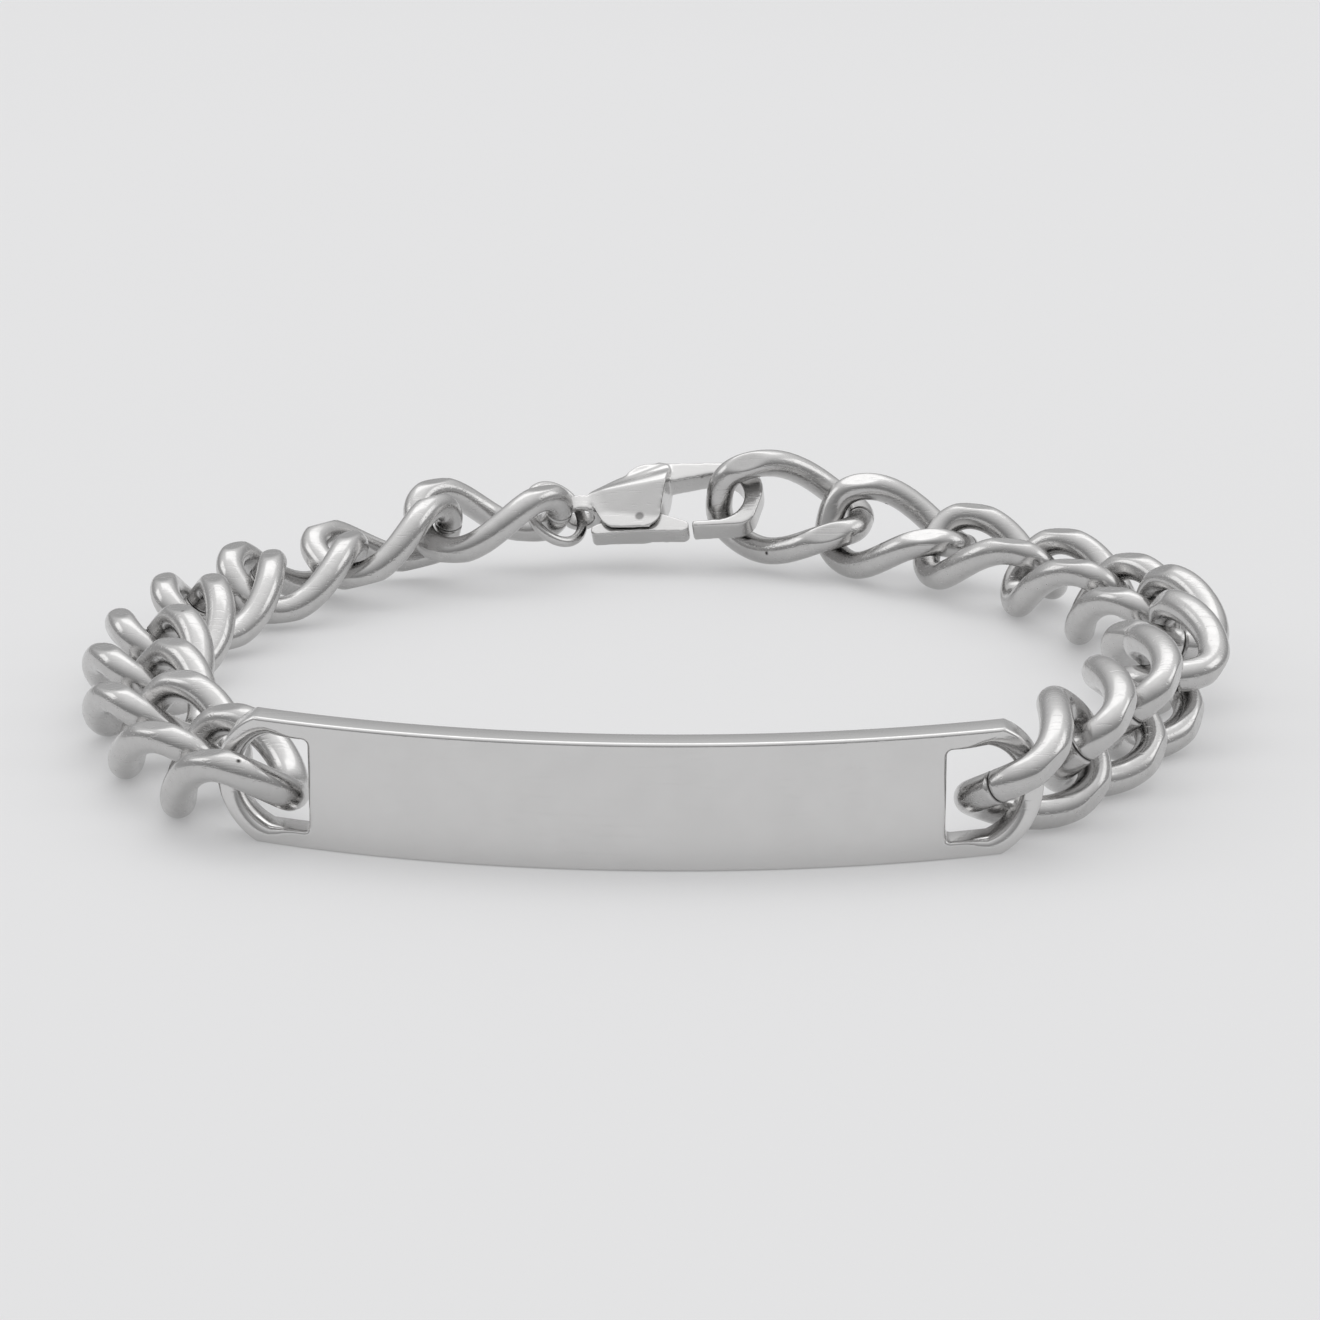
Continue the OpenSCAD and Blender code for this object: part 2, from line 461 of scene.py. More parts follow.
def add_smoothing(made: bpy.types.Object, name: str, rounds: int, group: str = "") -> None:
    """Adds a modifier that rounds a piece's edges.

    Args:
        made: The piece.
        name: The modifier's name.
        rounds: How many times it smooths.
        group: Vertex group that says how much of it each point takes, or nothing for all of it.
    """
    smooth = made.modifiers.new(name, "SMOOTH")
    smooth.vertex_group = group
    smooth.factor = 0.5
    smooth.iterations = rounds


def settle(made: bpy.types.Object, body: Body, nodes: Sequence[str]) -> None:
    """Makes a finished piece stand for its nodes and ride on its body.

    Args:
        made: The finished piece.
        body: The body that it moves with.
        nodes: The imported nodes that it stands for.
    """
    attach(made, body.value)
    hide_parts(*nodes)
    LOG.info("%s: %d faces, rides on %s", made.name, len(made.data.polygons), body.value)


@dataclass
class NamePlate:
    """The bent blank plate with a slot at each end, in millimetres.

    Attributes:
        length: Length along the bend.
        height: Height as it stands.
        thickness: Thickness of the metal.
        bend: Radius of the outer face.
        panel: Length between the two slots.
        slot_height: Height of a slot.
        end_bar: Metal between a slot's nose and the plate's tip.
        end_radius: Radius of the plate's round end.
        slot_radius: Radius of a slot's nose.
        edge: Size of the rounded edges.
        scoop: Size that the slot's outer edge widens to at its nose.
        scoop_ease: Length at either end of a slot where the edge keeps its size.
        corner: Radius of a slot's two square corners.
        pitch: Distance between points on the outlines.
        arc_share: How much closer the points on arcs are.
        margin: Width of the even strip between a rounded edge and the face.
        grid: Distance between points inside a face.
        clear: How far they stay from the outlines, as a share of the grid.
        same: Distance below which two points of the drawing are one.
        middle: Where the drawing's middle lies in the row frame.
    """

    length: float = 44.0
    height: float = 6.8
    thickness: float = 1.8
    bend: float = 53.0
    panel: float = 33.2
    slot_height: float = 4.9
    end_bar: float = 1.3
    end_radius: float = 3.8
    slot_radius: float = 2.6
    edge: float = 0.2
    scoop: float = 0.75
    scoop_ease: float = 0.8
    corner: float = 0.3
    pitch: float = 0.3
    arc_share: float = 1.6
    margin: float = 0.07
    grid: float = 0.42
    clear: float = 0.55
    same: float = 1e-5
    middle: Point = (0.2, 32.4)

    def across(self, arc: float) -> float:
        """Straight distance from the middle for a length along the bend."""
        return self.bend * math.sin(arc / self.bend)

    def arc(self, centre: Point, radius: float, start: float, stop: float) -> Rim:
        """Points on an arc with their outward normals.

        Args:
            centre: Middle of the arc.
            radius: Its radius.
            start: First angle in degrees.
            stop: Last angle in degrees.

        Returns:
            Pairs of point and normal.
        """
        steps = max(6, round(radius * math.radians(abs(stop - start)) / self.pitch * self.arc_share))
        made = []
        for i in range(steps + 1):
            a = math.radians(start + (stop - start) * i / steps)
            out = (math.cos(a), math.sin(a))
            made.append(((centre[0] + radius * out[0], centre[1] + radius * out[1]), out))
        return made

    def line(self, first: Point, last: Point) -> Rim:
        """Points inside a straight edge, with the normal to its right.

        Args:
            first: Where the edge starts.
            last: Where it ends.

        Returns:
            Pairs of point and normal, without the two ends.
        """
        length = math.dist(first, last)
        along = ((last[0] - first[0]) / length, (last[1] - first[1]) / length)
        steps = max(1, round(length / self.pitch))
        made = []
        for i in range(1, steps):
            point = (first[0] + along[0] * length * i / steps, first[1] + along[1] * length * i / steps)
            made.append((point, (along[1], -along[0])))
        return made

    def rim(self) -> Rim:
        """The plate's own outline, seen from the front, run against the clock.

        Returns:
            Pairs of point and outward normal.
        """
        tip, half = self.across(self.length / 2), self.height / 2
        reach = math.degrees(math.asin(half / self.end_radius))
        right = self.arc((tip - self.end_radius, 0), self.end_radius, -reach, reach)
        left = self.arc((-tip + self.end_radius, 0), self.end_radius, 180 - reach, 180 + reach)
        return right + self.line(right[-1][0], left[0][0]) + left + self.line(left[-1][0], right[0][0])

    def slot_rim(self, side: int) -> Rim:
        """The outline of one slot, run against the clock, with normals into the metal round it.

        Args:
            side: 1 for the right slot and -1 for the left one.

        Returns:
            Pairs of point and normal, pointing out of the slot.
        """
        inner, tip = self.slot_span()
        half = self.slot_height / 2
        reach = math.degrees(math.asin(half / self.slot_radius))
        nose = self.arc((tip - self.slot_radius, 0), self.slot_radius, -reach, reach)
        top = self.arc((inner + self.corner, half - self.corner), self.corner, 90, 180)
        low = self.arc((inner + self.corner, -half + self.corner), self.corner, 180, 270)
        run = nose + self.line(nose[-1][0], top[0][0]) + top + self.line(top[-1][0], low[0][0]) + low
        run += self.line(low[-1][0], nose[0][0])
        if side > 0:
            return run
        return [((-p[0], p[1]), (-n[0], n[1])) for p, n in reversed(run)]

    def slot_span(self) -> Point:
        """Where the right slot starts and ends along the drawing."""
        return self.across(self.panel / 2), self.across(self.length / 2 - self.end_bar)

    def place(self, x: float, z: float, depth: float) -> Vector:
        """A point of the flat drawing, at a depth below the outer face, in the row frame.

        Args:
            x: Distance along the plate.
            z: Height from the plate's middle.
            depth: Depth below the outer face.

        Returns:
            The point in metres.
        """
        radius = self.bend - depth
        y = self.bend - math.sqrt(radius * radius - x * x)
        return Vector((x - self.middle[0], y - self.middle[1], z + self.height / 2)) * MM

    def profile(self) -> list[Point]:
        """Steps of a rounded edge of size 1, rim first: (distance in from the rim, depth)."""
        turns = [math.radians(a) for a in (0, 15, 30, 45, 60, 75, 90)]
        return [(1 - math.cos(a), 1 - math.sin(a)) for a in turns]

    def scooped(self, x: float) -> float:
        """Size of the slot's rounded edge, which widens towards the nose of the slot.

        Args:
            x: Distance along the plate.

        Returns:
            The edge's size on the outer face.
        """
        inner, nose = self.slot_span()
        share = ramp(abs(x) - inner, self.scoop_ease, nose - inner - 2 * self.scoop_ease)
        return self.edge + (self.scoop - self.edge) * share * share * (3 - 2 * share)

    def rim_loops(self, rim: Rim, way: int) -> list[list[Vector]]:
        """Every step of one rim, from the outer face over both rounded edges to the inner face.

        Args:
            rim: Points of the rim with their normals.
            way: -1 where the normals leave the metal and 1 where they enter it.

        Returns:
            Loops of (x, z, depth).
        """
        steps = self.profile()

        def loop(inset: float, depth: float, front: bool, extra: float = 0.0) -> list[Vector]:
            """One loop at a step of the rounded edge.

            Args:
                inset: Distance in from the rim, for an edge of size 1.
                depth: Depth below the face, for an edge of size 1.
                front: Whether it is the outer face's edge.
                extra: Millimetres further in.

            Returns:
                The loop's points.
            """
            made = []
            for (x, z), (nx, nz) in rim:
                size = self.scooped(x) if way > 0 and front else self.edge
                move = way * (inset * size + extra)
                deep = depth * size
                made.append(Vector((x + nx * move, z + nz * move, deep if front else self.thickness - deep)))
            return made

        outer = [loop(inset, depth, True) for inset, depth in reversed(steps)]
        inner = [loop(inset, depth, False) for inset, depth in steps]
        return [loop(1.0, 0.0, True, self.margin), *outer, *inner, loop(1.0, 0.0, False, self.margin)]

    def mesh(self) -> bpy.types.Mesh:
        """Builds the plate with rounded edges.

        Returns:
            The mesh in the row frame.
        """
        made = bmesh.new()
        rims = [self.rim_loops(self.rim(), -1)]
        rims += [self.rim_loops(self.slot_rim(side), 1) for side in (1, -1)]
        walls: list[list[list[Any]]] = []
        for number, loops in enumerate(rims):
            rings = [[made.verts.new(self.place(*p)) for p in loop] for loop in loops]
            walls.append(rings)
            count = len(rings[0])
            for first, second in zip(rings, rings[1:]):
                for i in range(count):
                    ring = (first[i], first[(i + 1) % count], second[(i + 1) % count], second[i])
                    made.faces.new(ring if number == 0 else ring[::-1])
        for end, depth in ((0, 0.0), (-1, self.thickness)):
            outlines = [[Vector(p[:2]) for p in loops[end]] for loops in rims]
            corners = [vert for rings in walls for vert in rings[end]]
            self.fill(made, outlines, corners, depth)
        bmesh.ops.recalc_face_normals(made, faces=made.faces)
        mesh = bpy.data.meshes.new("name_plate")
        made.to_mesh(mesh)
        made.free()
        mesh.shade_smooth()
        return mesh

    def fill(self, made: Any, outlines: list[list[Vector]], corners: list[Any], depth: float) -> None:
        """Fills one face between its outlines with small even triangles.

        Args:
            made: The mesh being built.
            outlines: The face's outer outline and then its two slots, in the drawing.
            corners: The outlines' vertices in the same order.
            depth: Depth of the face below the outer one.
        """
        flat = [p for outline in outlines for p in outline]
        rim_points = KDTree(len(flat))
        for i, p in enumerate(flat):
            rim_points.insert((p.x, p.y, 0.0), i)
        rim_points.balance()
        edges: list[tuple[int, int]] = []
        for outline in outlines:
            base = len(edges)
            edges += [(base + i, base + (i + 1) % len(outline)) for i in range(len(outline))]

        def metal(p: Vector) -> bool:
            """Whether a point of the drawing lies on the face."""
            return inside(p, outlines[0]) and not inside(p, outlines[1]) and not inside(p, outlines[2])

        tip, half = self.across(self.length / 2), self.height / 2
        columns, rows = round(2 * tip / self.grid), round(2 * half / self.grid)
        for i in range(columns + 1):
            for j in range(rows + 1):
                p = Vector((tip * (2 * i / columns - 1), half * (2 * j / rows - 1)))
                if rim_points.find((p.x, p.y, 0.0))[2] > self.grid * self.clear and metal(p):
                    flat.append(p)
                    corners.append(made.verts.new(self.place(p.x, p.y, depth)))
        points, _, faces, origins, _, _ = delaunay_2d_cdt(flat, edges, [], 0, self.same)
        for face in faces:
            if metal(sum((points[i] for i in face), Vector((0.0, 0.0))) / len(face)):
                made.faces.new([corners[origins[i][0]] for i in face])

    def build(self, finish: bpy.types.Material) -> None:
        """Makes the plate and dresses it.

        Args:
            finish: The plate's material.
        """
        made = new_object("name_plate", self.mesh())
        made.data.materials.append(finish)
        settle(made, Body.BRACELET, ["id_plate"])


@dataclass
class CurbLink:
    """Sizes of one link in its own frame: X along its travel, Z across at its middle.

    Attributes:
        pitch: Distance from link to link, in millimetres.
        wire: Thickness of the wire.
        play: Room that two links have in each other.
        half_width: Half the width of the wire's centreline.
        twist: Turn between the link's two ends, in degrees.
        roundness: Power of the oval, 1 for an ellipse and less for squarer ends.
        ground: Height of the two ground flats over the middle.
        flat_edge: How softly the flats run out.
        seam_at: Where the wire's ends meet, as a share of the turn.
        seam_gap: Half the seam's width, as a share of the turn.
        seam_depth: How much thinner the wire is in the seam.
        ring_points: Stations round the link.
        wire_points: Sides of the wire.
    """

    pitch: float = 7.4
    wire: float = 1.78
    play: float = 0.25
    half_width: float = 2.92
    twist: float = 88.0
    roundness: float = 0.75
    ground: float = 2.2
    flat_edge: float = 0.09
    seam_at: float = 0.49
    seam_gap: float = 0.004
    seam_depth: float = 0.14
    ring_points: int = 112
    wire_points: int = 48

    def tree(self) -> bpy.types.NodeTree:
        """Builds the tree that puts one finished link on every point.

        Returns:
            A geometry node tree with named inputs for the link's sizes.
        """
        tree = bpy.data.node_groups.new("curb_links", "GeometryNodeTree")
        sizes = {
            "Half Length": (self.pitch + self.wire + self.play) / 2 * MM,
            "Half Width": self.half_width * MM,
            "Twist": math.radians(self.twist),
            "Roundness": self.roundness,
            "Wire Radius": self.wire / 2 * MM,
            "Ground Height": self.ground * MM,
            "Seam Place": self.seam_at,
            "Seam Gap": self.seam_gap,
        }
        tree.interface.new_socket("Geometry", in_out="INPUT", socket_type="NodeSocketGeometry")
        for key, value in sizes.items():
            tree.interface.new_socket(key, in_out="INPUT", socket_type="NodeSocketFloat").default_value = value
        tree.interface.new_socket("Finish", in_out="INPUT", socket_type="NodeSocketMaterial")
        tree.interface.new_socket("Geometry", in_out="OUTPUT", socket_type="NodeSocketGeometry")
        graph = Graph(tree)
        source, target = graph.add("NodeGroupInput"), graph.add("NodeGroupOutput")
        size = source.outputs
        index = graph.add("GeometryNodeInputIndex").outputs[0]
        at_seam = graph.math("COMPARE", index, 1.0, 0.1)
        centreline = self.centreline(graph, size, self.station_angle(graph, size, index))
        ring = graph.add("GeometryNodeCurvePrimitiveCircle", {"Resolution": self.ring_points, "Radius": MM})
        shaped = graph.add("GeometryNodeSetPosition", {"Geometry": ring.outputs[0], "Position": centreline})
        mark = {"Geometry": shaped.outputs[0], "Name": "seam", "Value": at_seam}
        marked = graph.add("GeometryNodeStoreNamedAttribute", mark, domain="POINT")
        round_wire = {"Resolution": self.wire_points, "Radius": size["Wire Radius"]}
        section = graph.add("GeometryNodeCurvePrimitiveCircle", round_wire)
        thinner = graph.math("SUBTRACT", 1.0, graph.math("MULTIPLY", at_seam, self.seam_depth))
        sweep = {"Curve": marked.outputs[0], "Profile Curve": section.outputs[0], "Scale": thinner}
        wire = graph.add("GeometryNodeCurveToMesh", sweep)
        ground = self.ground_flats(graph, size, wire.outputs[0])
        spread = graph.add("GeometryNodeInstanceOnPoints", {"Points": size["Geometry"], "Instance": ground})
        turn = graph.add("GeometryNodeInputNamedAttribute", {"Name": "turn"}, data_type="FLOAT_VECTOR")
        turned = graph.add("FunctionNodeEulerToRotation", {0: turn.outputs[0]})
        graph.feed(spread.inputs["Rotation"], turned.outputs[0])
        real = graph.add("GeometryNodeRealizeInstances", {"Geometry": spread.outputs[0]})
        smooth = graph.add("GeometryNodeSetShadeSmooth", {"Geometry": real.outputs[0]})
        dressed = graph.add("GeometryNodeSetMaterial", {"Geometry": smooth.outputs[0], "Material": size["Finish"]})
        graph.feed(target.inputs[0], dressed.outputs[0])
        return tree

    def station_angle(self, graph: Graph, size: Any, index: Any) -> bpy.types.NodeSocket:
        """The angle of each station: the first three stand close round the seam, the rest share the turn.

        Args:
            graph: The tree's graph.
            size: The tree's input sockets.
            index: The station's number.

        Returns:
            The angle's socket, in radians.
        """
        near = graph.math("MULTIPLY", graph.math("SUBTRACT", index, 1.0), size["Seam Gap"])
        start = graph.math("MULTIPLY", size["Seam Gap"], 2.0)
        span = {0: index, 1: 3.0, 2: float(self.ring_points - 1), 3: start, 4: graph.math("SUBTRACT", 1.0, start)}
        rest = graph.add("ShaderNodeMapRange", span, clamp=False).outputs[0]
        in_seam = graph.math("LESS_THAN", index, 2.5)
        share = graph.add("ShaderNodeMix", {0: in_seam, 2: rest, 3: near}).outputs[0]
        return graph.math("MULTIPLY", graph.math("ADD", share, size["Seam Place"]), math.tau)

    def centreline(self, graph: Graph, size: Any, angle: Any) -> bpy.types.NodeSocket:
        """The twisted oval that the wire follows.

        Args:
            graph: The tree's graph.
            size: The tree's input sockets.
            angle: The angle round the link.

        Returns:
            The centreline's position socket.
        """

        def soft(value: Any) -> bpy.types.NodeSocket:
            """Squares an oval's sine or cosine up towards a stadium."""
            grown = graph.math("POWER", graph.math("ABSOLUTE", value), size["Roundness"])
            return graph.math("MULTIPLY", graph.math("SIGN", value), grown)

        along = graph.math("MULTIPLY", soft(graph.math("COSINE", angle)), size["Half Length"])
        reach = graph.math("MULTIPLY", soft(graph.math("SINE", angle)), size["Half Width"])
        share = graph.math("DIVIDE", along, size["Half Length"])
        bend = graph.math("SINE", graph.math("MULTIPLY", share, math.pi / 2))
        lean = graph.math("MULTIPLY", graph.math("MULTIPLY", size["Twist"], -0.5), bend)
        side = graph.math("MULTIPLY", graph.math("MULTIPLY", reach, graph.math("SINE", lean)), -1.0)
        up = graph.math("MULTIPLY", reach, graph.math("COSINE", lean))
        return graph.add("ShaderNodeCombineXYZ", {0: along, 1: side, 2: up}).outputs[0]

    def ground_flats(self, graph: Graph, size: Any, wire: Any) -> bpy.types.NodeSocket:
        """Grinds the two broad sides of the link flat, with a polished edge.

        Args:
            graph: The tree's graph.
            size: The tree's input sockets.
            wire: The round wire's mesh.

        Returns:
            The ground wire's mesh socket.
        """
        place = graph.add("ShaderNodeSeparateXYZ", {0: graph.add("GeometryNodeInputPosition").outputs[0]}).outputs
        off = graph.math("ABSOLUTE", place[1])
        held = graph.math("SMOOTH_MIN", off, size["Ground Height"], self.flat_edge * MM)
        flat = graph.math("MULTIPLY", graph.math("SIGN", place[1]), held)
        moved = graph.add("ShaderNodeCombineXYZ", {0: place[0], 1: flat, 2: place[2]}).outputs[0]
        return graph.add("GeometryNodeSetPosition", {"Geometry": wire, "Position": moved}).outputs[0]


@dataclass
class ChainRun:
    """One run of links, from the plate to the clasp or the jump ring.

    Attributes:
        side: Which of the two runs it is.
        names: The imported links, counted from the plate.
        heading: Heading of the first link, in degrees from the row frame's X.
        turn: Change of heading from each link to the next.
        roll: Turn of each link about its own travel.
        tilt: Rise of each link's nose.
        skew: Turn of each link away from the run's heading.
    """

    side: Side
    names: Sequence[str]
    heading: float
    turn: Table
    roll: Table
    tilt: Table
    skew: Table

    def bearing(self, k: int) -> float:
        """Heading of the run at a link, in degrees.

        Args:
            k: Link counted from the plate.

        Returns:
            The heading away from the plate.
        """
        return self.heading + sum(lookup(self.turn, i) for i in range(1, k))

    def basis(self, k: int) -> Euler:
        """How one link is turned from its own frame into the row frame.

        Args:
            k: Link counted from the plate.

        Returns:
            The turn as Euler angles.
        """
        forward = self.bearing(k) + lookup(self.skew, k)
        tilt = lookup(self.tilt, k)
        if self.side is Side.LEFT:
            forward, tilt = forward + 180, -tilt
        rise = math.radians(tilt)
        along = Vector((math.cos(math.radians(forward)), math.sin(math.radians(forward)), 0))
        out = Vector((along.y, -along.x, 0))
        nose = along * math.cos(rise) + Vector((0, 0, math.sin(rise)))
        top = out.cross(nose)
        upright = Matrix((nose, -out, top)).transposed()
        return (upright @ Matrix.Rotation(math.radians(lookup(self.roll, k)), 3, "X")).to_euler("XYZ")

    def middle(self, name: str) -> Vector:
        """Middle of a packed link, the mean of its corners."""
        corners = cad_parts[name].data.vertices
        return sum((v.co for v in corners), Vector()) / len(corners)

    def build(self, tree: bpy.types.NodeTree, finish: bpy.types.Material) -> None:
        """Makes the run as one mesh and dresses it.

        Args:
            tree: The tree that puts a link on every point.
            finish: The links' material.
        """
        mesh = bpy.data.meshes.new(f"{self.side.value}_run")
        mesh.from_pydata([self.middle(name) for name in self.names], [], [])
        turns = mesh.attributes.new("turn", "FLOAT_VECTOR", "POINT")
        for k, row in enumerate(turns.data, start=1):
            row.vector = self.basis(k)
        made = new_object(f"{self.side.value}_chain", mesh)
        nodes = made.modifiers.new("links", "NODES")
        nodes.node_group = tree
        sockets = {s.name: s.identifier for s in tree.interface.items_tree if s.in_out == "INPUT"}
        nodes[sockets["Finish"]] = finish
        bake(made)
        settle(made, Body.BRACELET, self.names)


@dataclass(frozen=True)
class Crown:
    """Slope and softness of the shell's two faces, in the clasp's frame and in millimetres.

    Each ramp is a start and a length, over which a share grows from 0 to 1.

    Attributes:
        slope: How much thicker the shell gets for each millimetre towards the ridge.
        ridge_at: Height of the ridge across the clasp.
        ridge_rise: Height below the clasp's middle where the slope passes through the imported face.
        wall_face: Half thickness that the walls beside the lever keep.
        after_eye: Ramp along the clasp, behind its eye.
        before_hook: Ramp along the clasp, backwards from its hook.
        skin: Ramp through the thickness, which leaves the pocket alone.
        off_eye: Ramp away from the eye's middle, which leaves the thin eye alone.
        rounds: How many times the crown is smoothed.
    """

    slope: float = 0.26
    ridge_at: float = 0.5
    ridge_rise: float = 0.4
    wall_face: float = 1.0
    after_eye: Point = (-5.2, 1.5)
    before_hook: Point = (1.2, -0.5)
    skin: Point = (0.85, 0.3)
    off_eye: Point = (1.4, 1.2)
    rounds: int = 30

    def lifted(self, p: Vector) -> float:
        """Half thickness of the shell at a point, with its slope.

        Args:
            p: The point in the clasp's frame.

        Returns:
            The new distance from the clasp's middle plane.
        """
        crown = ramp(p.x, *self.after_eye) * ramp(p.x, *self.before_hook)
        rise = min(p.y, self.ridge_at) + self.ridge_rise - max(0.0, p.y - self.ridge_at)
        thick = abs(p.z) + crown * ramp(abs(p.z), *self.skin) * self.slope * rise
        return max(thick, min(abs(p.z), self.wall_face))

    def shape(self, made: bpy.types.Object) -> None:
        """Slopes the shell's two faces down from their ridge and rounds all but the thin eye further.

        Args:
            made: The evenly meshed shell, still in millimetres.
        """
        clasp = clasp_frame()
        back = clasp.inverted()
        soft = made.vertex_groups.new(name="soft")
        for vert in made.data.vertices:
            p = back @ vert.co
            p.z = math.copysign(self.lifted(p), p.z)
            vert.co = clasp @ p
            soft.add([vert.index], ramp(math.dist(p, CLASP_EYE), *self.off_eye), "REPLACE")
        add_smoothing(made, "cushion", self.rounds, soft.name)
        bake(made)


@dataclass
class CastPiece:
    """A cast and tumbled part of the clasp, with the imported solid's outline and soft edges.

    Attributes:
        node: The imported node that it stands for.
        name: The piece's name.
        body: The body that it rides on.
        voxel: Size of its even mesh, in millimetres.
        rounds: How many times its edges are smoothed.
        crown: The slope of its faces, if it has one.
    """

    node: str
    name: str
    body: Body
    voxel: float = 0.07
    rounds: int = 9
    crown: Crown | None = None

    def build(self, finish: bpy.types.Material) -> None:
        """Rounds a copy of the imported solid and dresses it.

        Args:
            finish: The piece's material.
        """
        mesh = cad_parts[self.node].data.copy()
        mesh.materials.clear()
        mesh.transform(Matrix.Scale(1 / MM, 4))
        work = bmesh.new()
        work.from_mesh(mesh)
        bmesh.ops.remove_doubles(work, verts=work.verts, dist=WELD)
        work.to_mesh(mesh)
        work.free()
        made = new_object(self.name, mesh)
        remesh = made.modifiers.new("even", "REMESH")
        remesh.mode = "VOXEL"
        remesh.voxel_size = self.voxel
        add_smoothing(made, "tumbled", self.rounds)
        bake(made)
        if self.crown:
            self.crown.shape(made)
        made.data.transform(Matrix.Scale(MM, 4))
        made.data.shade_smooth()
        made.data.materials.clear()
        made.data.materials.append(finish)
        settle(made, self.body, [self.node])


@dataclass(frozen=True)
class Panel:
    """One soft light panel, which faces the bracelet's middle: sizes in metres, power in watts."""

    name: str
    at: Triple
    size: Point
    power: float

    def hang(self) -> None:
        """Hangs the panel in the scene."""
        panel = bpy.data.lights.new(self.name, "AREA")
        panel.shape = "RECTANGLE"
        panel.size, panel.size_y = self.size
        panel.energy = self.power
        holder = bpy.data.objects.new(self.name, panel)
        holder.location = self.at
        holder.rotation_euler = (Vector() - Vector(self.at)).to_track_quat("-Z", "Y").to_euler()
        bpy.context.scene.collection.objects.link(holder)


@dataclass
class Studio:
    """The pale floor, the soft lights, the room and the camera.

    Attributes:
        panels: The light panels.
        camera_at: Place of the camera, in millimetres.
        pitch: How far it looks down, in degrees.
        yaw: How far it looks to the right, less than 0 for the left.
        lens: Its focal length on a full-frame sensor, in millimetres.
        floor_size: Side of the floor, in metres.
        floor_tones: The floor's darkest and lightest tone.
        floor_glow: Strength of its own light.
        room_light: Strength of the room's light.
        room_depth: Way from front to back over which the room gets lighter.
        room_front: The room's share of light on the viewer's side.
        room_rise: Way up over which the room gets lighter.
        room_low: The room's share of light near the horizon.
    """

    panels: tuple[Panel, ...] = (
        Panel("overhead", (0.0, 0.32, 0.72), (0.8, 0.4), 0.55),
        Panel("left_panel", (-0.65, 0.0, 0.40), (0.4, 0.3), 0.3),
        Panel("right_panel", (0.65, 0.05, 0.40), (0.4, 0.3), 0.3),
    )
    camera_at: Triple = (11.21, -211.60, 62.89)
    pitch: float = 16.07
    yaw: float = -3.04
    lens: float = 102.23
    floor_size: float = 4.0
    floor_tones: tuple[Triple, Triple] = ((0.53, 0.53, 0.533), (0.55, 0.55, 0.553))
    floor_glow: float = 0.25
    room_light: float = 1.30
    room_depth: Point = (-0.8, 0.3)
    room_front: float = 0.65
    room_rise: Point = (0.2, 1.0)
    room_low: float = 0.34

    def build(self) -> None:
        """Sets up the floor, the room, the lights and the camera."""
        self.floor()
        self.world()
        for panel in self.panels:
            panel.hang()
        self.camera()

    def floor(self) -> None:
        """Lays the pale floor, which glows a little so that the shadows on it stay light."""
        half = self.floor_size / 2
        mesh = bpy.data.meshes.new("floor")
        corners = [(-half, -half, 0), (half, -half, 0), (half, half, 0), (-half, half, 0)]
        mesh.from_pydata(corners, [], [(0, 1, 2, 3)])
        floor = new_object("floor", mesh)
        material, graph, shader = open_material("pale_floor")
        shader.inputs["Roughness"].default_value = 0.6
        shader.inputs["Specular IOR Level"].default_value = 0.15
        shader.inputs["Emission Color"].default_value = PALE
        shader.inputs["Emission Strength"].default_value = self.floor_glow
        cloud = graph.add("ShaderNodeTexNoise", {"Vector": graph.place(), "Scale": 6.0, "Detail": 2.0})
        dark, light = ((*tone, 1.0) for tone in self.floor_tones)
        graph.feed(shader.inputs["Base Color"], graph.blend(cloud.outputs[0], dark, light))
        mesh.materials.append(material)

    def world(self) -> None:
        """Gives the room a pale light, darker on the viewer's side and towards the horizon."""
        world = bpy.data.worlds.new("room")
        bpy.context.scene.world = world
        world.use_nodes = True
        graph = Graph(world.node_tree)
        back = world.node_tree.nodes["Background"]
        ways = graph.add("ShaderNodeSeparateXYZ", {0: graph.place("Generated")}).outputs
        depth = graph.stretch(ways[1], self.room_depth, (self.room_front, 1.0))
        rise = graph.stretch(ways[2], self.room_rise, (self.room_low, 1.0))
        graph.feed(back.inputs["Color"], graph.blend(graph.math("MULTIPLY", depth, rise), BLACK, PALE))
        back.inputs["Strength"].default_value = self.room_light

    def camera(self) -> None:
        """Sets the camera at the viewing angle of the picture."""
        lens = bpy.data.cameras.new("camera")
        lens.lens = self.lens
        lens.sensor_width = 36.0
        lens.clip_start, lens.clip_end = 0.01, 20.0
        holder = bpy.data.objects.new("camera", lens)
        holder.location = Vector(self.camera_at) * MM
        holder.rotation_euler = (math.radians(90 - self.pitch), 0.0, math.radians(-self.yaw))
        bpy.context.scene.collection.objects.link(holder)
        bpy.context.scene.camera = holder
        bpy.context.scene.view_settings.view_transform = "Standard"


MIRROR_PLATE = SteelFinish(
    "mirror_plate",
    (0.70, 0.695, 0.69),
    roughness=0.17,
    hairline_scale=1.0,
    hairlines=0.5,
    haze=0.5,
    pit_share=0.008,
)
POLISHED_LINK = SteelFinish("polished_link", (0.58, 0.575, 0.57), roughness=0.17, haze_scale=1500.0, seams=True)
POLISHED_CLASP = SteelFinish("polished_clasp", (0.62, 0.615, 0.61), hairlines=0.6, haze=0.7)
POLISHED_SHELL = replace(POLISHED_CLASP, name="polished_shell", rivet=True)


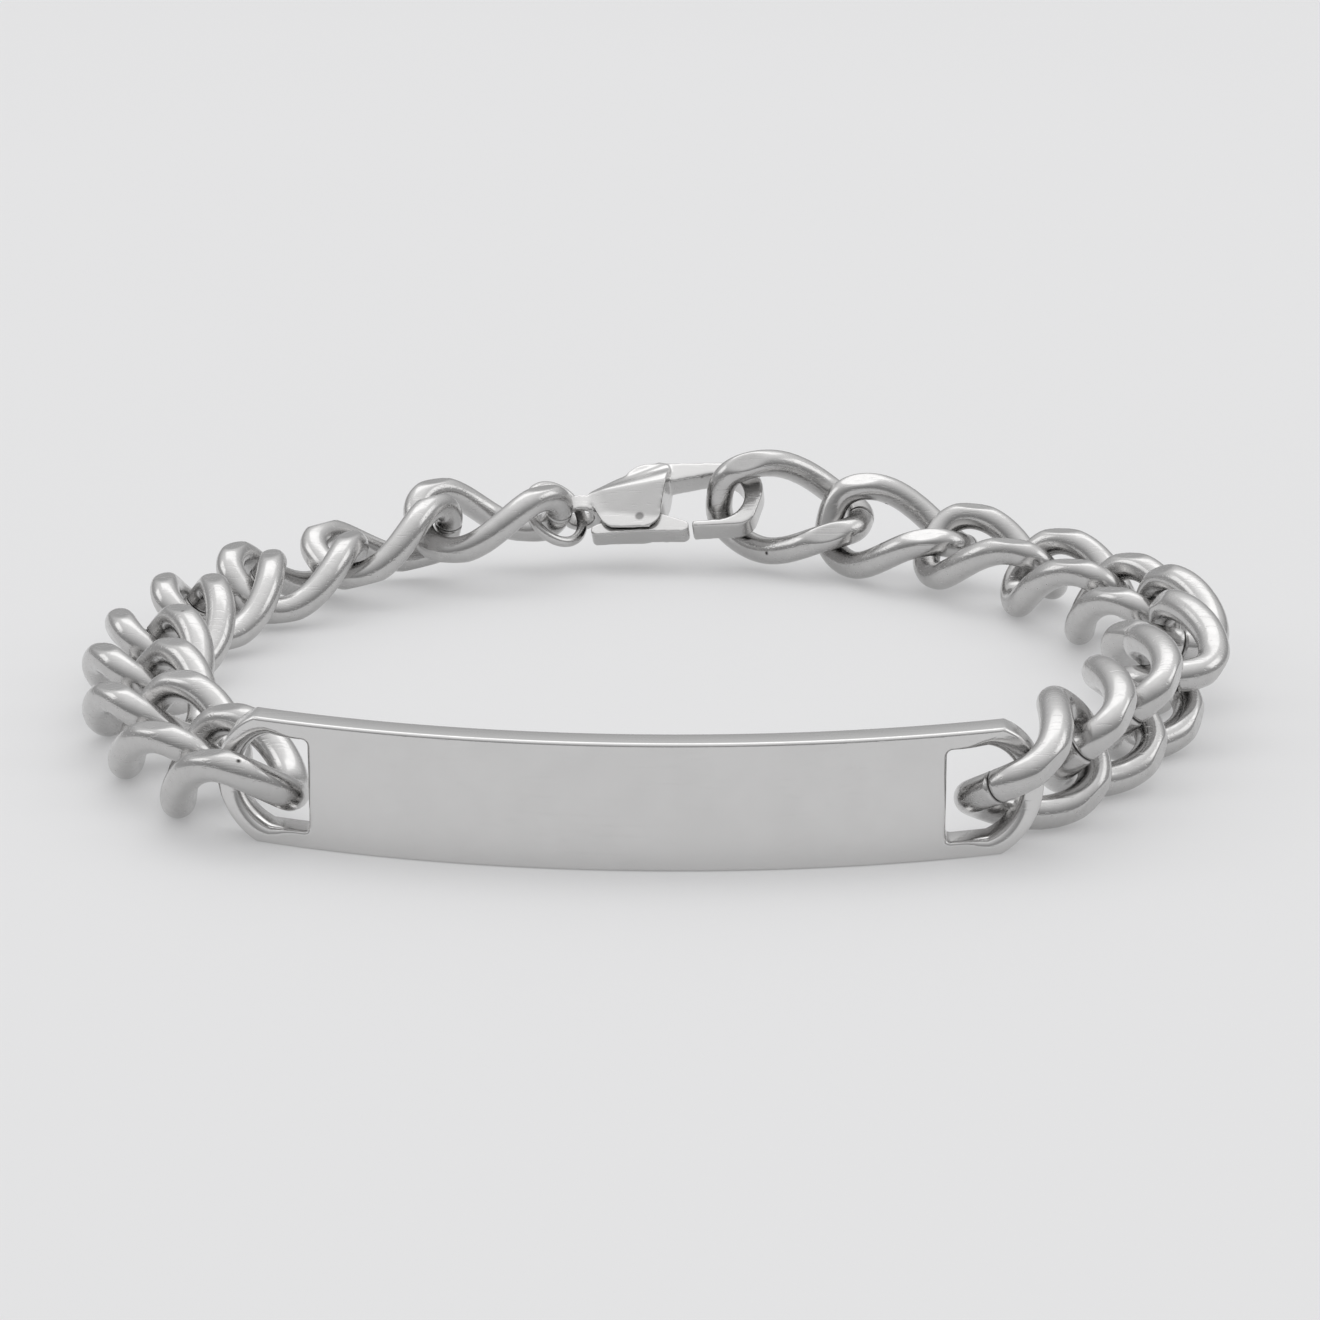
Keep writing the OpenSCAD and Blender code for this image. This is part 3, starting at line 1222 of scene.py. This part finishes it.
def link_names(first: int, last: int) -> list[str]:
    """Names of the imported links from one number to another, both included."""
    way = 1 if last >= first else -1
    return [f"link_{i:02d}" for i in range(first, last + way, way)]


def chain_runs() -> tuple[ChainRun, ChainRun]:
    """The two runs of the chain, with rows of (link counted from the plate, degrees)."""
    right = ChainRun(
        Side.RIGHT,
        link_names(1, 10),
        56.0,
        turn=((1, 7), (2, 9.5), (5, 13), (8, 16), (9, 15.5)),
        roll=((1, 17), (2, 2), (3, 2), (4, 36), (6, 80), (8, 88), (9, 64), (10, 36)),
        tilt=((1, 1), (3, -2), (5, -4.5), (7, -3), (8, 3.5), (9, 5), (10, 7)),
        skew=((1, 0), (2, 5), (3, -1), (4, 3), (5, 1), (8, 2), (10, 3)),
    )
    left = ChainRun(
        Side.LEFT,
        link_names(19, 11),
        127.0,
        turn=((1, -10.5), (3, -10.5), (6, -15.5), (8, -15.5)),
        roll=((1, -77), (3, -81), (4, -81), (5, -82), (7, -87), (8, -73), (9, -90)),
        tilt=((1, -6), (2, -0.5), (3, 0), (4, -0.5), (5, 1.5), (7, -0.5), (8, 5.5), (9, 0)),
        skew=((1, -4), (2, 4), (3, -1), (4, 1), (9, -3)),
    )
    return right, left


def main() -> None:
    """Builds the studio and dresses every piece of the bracelet."""
    logging.basicConfig(level=logging.INFO, format="%(name)s: %(message)s")
    Studio().build()
    groups = WearGroups.build()
    NamePlate().build(MIRROR_PLATE.material(groups))
    tree = CurbLink().tree()
    link_finish = POLISHED_LINK.material(groups)
    for run in chain_runs():
        run.build(tree, link_finish)
    clasp_finish = POLISHED_CLASP.material(groups)
    shell = CastPiece("clasp_body", "clasp_shell_and_hook", Body.BRACELET, crown=Crown())
    shell.build(POLISHED_SHELL.material(groups))
    CastPiece("jump_ring", "small_jump_ring", Body.BRACELET, voxel=0.05, rounds=2).build(clasp_finish)
    CastPiece("clasp_lever", "clasp_gate_lever", Body.LEVER, voxel=0.05, rounds=14).build(clasp_finish)


if __name__ == "__main__":
    main()
